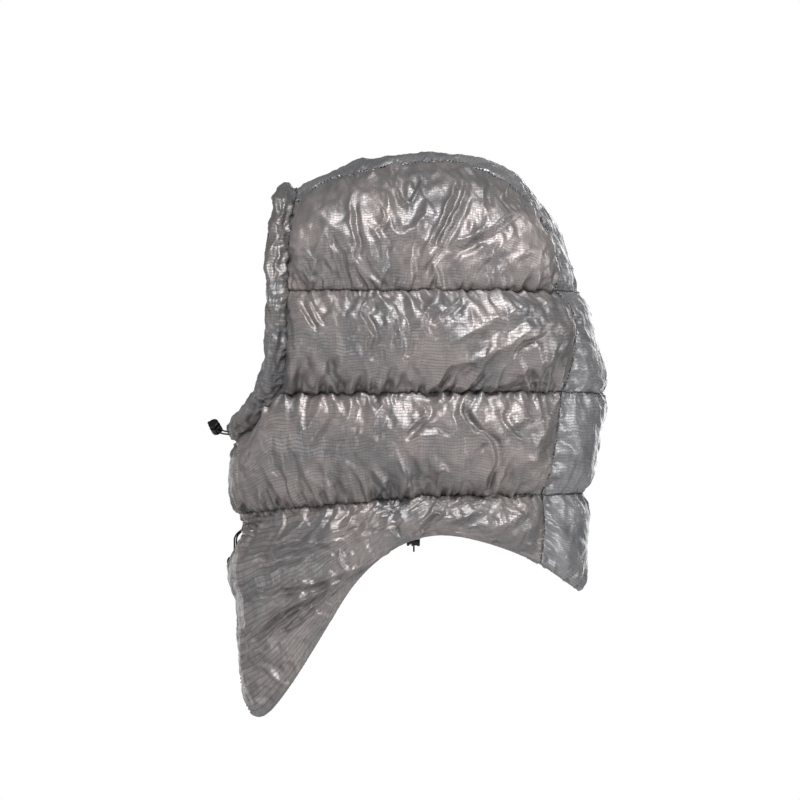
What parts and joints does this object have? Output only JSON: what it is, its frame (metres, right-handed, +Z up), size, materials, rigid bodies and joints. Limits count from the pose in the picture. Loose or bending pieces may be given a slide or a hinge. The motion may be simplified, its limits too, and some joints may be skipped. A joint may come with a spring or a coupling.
{
  "type": "quilted down hood",
  "caption": "Quilted down hood with a gathered face opening, a pointed bib and sprung cord locks; worn with a camping quilt.",
  "frame": {"origin": "point inside the crown where the top of the head bears", "axes": "+Z up, -X the way the wearer faces, -Y the wearer's left"},
  "size_m": [0.2985, 0.1944, 0.4239],
  "materials": {
    "shell_nylon": "thin calendered ripstop nylon, satin sheen",
    "lining_nylon": "thin soft woven nylon",
    "binding_tape": "narrow bound edge",
    "down_fill": "down clusters",
    "elastic_cord": "braided cover over elastic",
    "lock_plastic": "moulded acetal, fine texture",
    "spring_steel": "drawn wire"
  },
  "bodies": {
    "root": {"shell_left": "shell_nylon", "shell_centre": "shell_nylon", "shell_right": "shell_nylon", "lining_left": "lining_nylon", "lining_centre": "lining_nylon", "lining_right": "lining_nylon", "down_crown_left": "down_fill", "down_crown_centre": "down_fill", "down_crown_right": "down_fill", "down_ear_left": "down_fill", "down_ear_centre": "down_fill", "down_ear_right": "down_fill", "down_jaw_left": "down_fill", "down_jaw_centre": "down_fill", "down_jaw_right": "down_fill", "down_bib_left": "down_fill", "down_bib_centre": "down_fill", "down_bib_right": "down_fill", "face_tunnel": "shell_nylon", "hem_binding": "binding_tape", "neck_channel": "lining_nylon", "face_drawcord": "elastic_cord", "neck_drawcord": "elastic_cord", "face_cord_loop": "elastic_cord", "neck_cord_loop": "elastic_cord", "side_cord_loop": "elastic_cord"},
    "face_lock": {"face_lock_body": "lock_plastic", "face_lock_spring": "spring_steel"},
    "face_button": {"face_lock_button": "lock_plastic"},
    "neck_lock": {"neck_lock_body": "lock_plastic", "neck_lock_spring": "spring_steel"},
    "neck_button": {"neck_lock_button": "lock_plastic"},
    "side_lock": {"side_lock_body": "lock_plastic", "side_lock_spring": "spring_steel"},
    "side_button": {"side_lock_button": "lock_plastic"}
  },
  "joints": [
    {"name": "face_lock_slide", "type": "slide", "parent": "root", "child": "face_lock", "axis": [-0.5946, 0.6896, 0.4134], "range_m": [-0.002, 0.003]},
    {"name": "face_button_press", "type": "slide", "parent": "face_lock", "child": "face_button", "axis": [0.3445, 0.6831, -0.644], "range_m": [0, 0.0015], "stiffness_N_per_m": 1500, "deforming": ["face_lock_spring"]},
    {"name": "neck_lock_slide", "type": "slide", "parent": "root", "child": "neck_lock", "axis": [0, 0, -1], "range_m": [-0.012, 0.003]},
    {"name": "neck_button_press", "type": "slide", "parent": "neck_lock", "child": "neck_button", "axis": [0.8339, -0.5519, 0], "range_m": [0, 0.0015], "stiffness_N_per_m": 1500, "deforming": ["neck_lock_spring"]},
    {"name": "side_lock_slide", "type": "slide", "parent": "root", "child": "side_lock", "axis": [0, 0, -1], "range_m": [-0.0045, 0.002]},
    {"name": "side_button_press", "type": "slide", "parent": "side_lock", "child": "side_button", "axis": [1, 0, 0], "range_m": [0, 0.0015], "stiffness_N_per_m": 1500, "deforming": ["side_lock_spring"]}
  ]
}
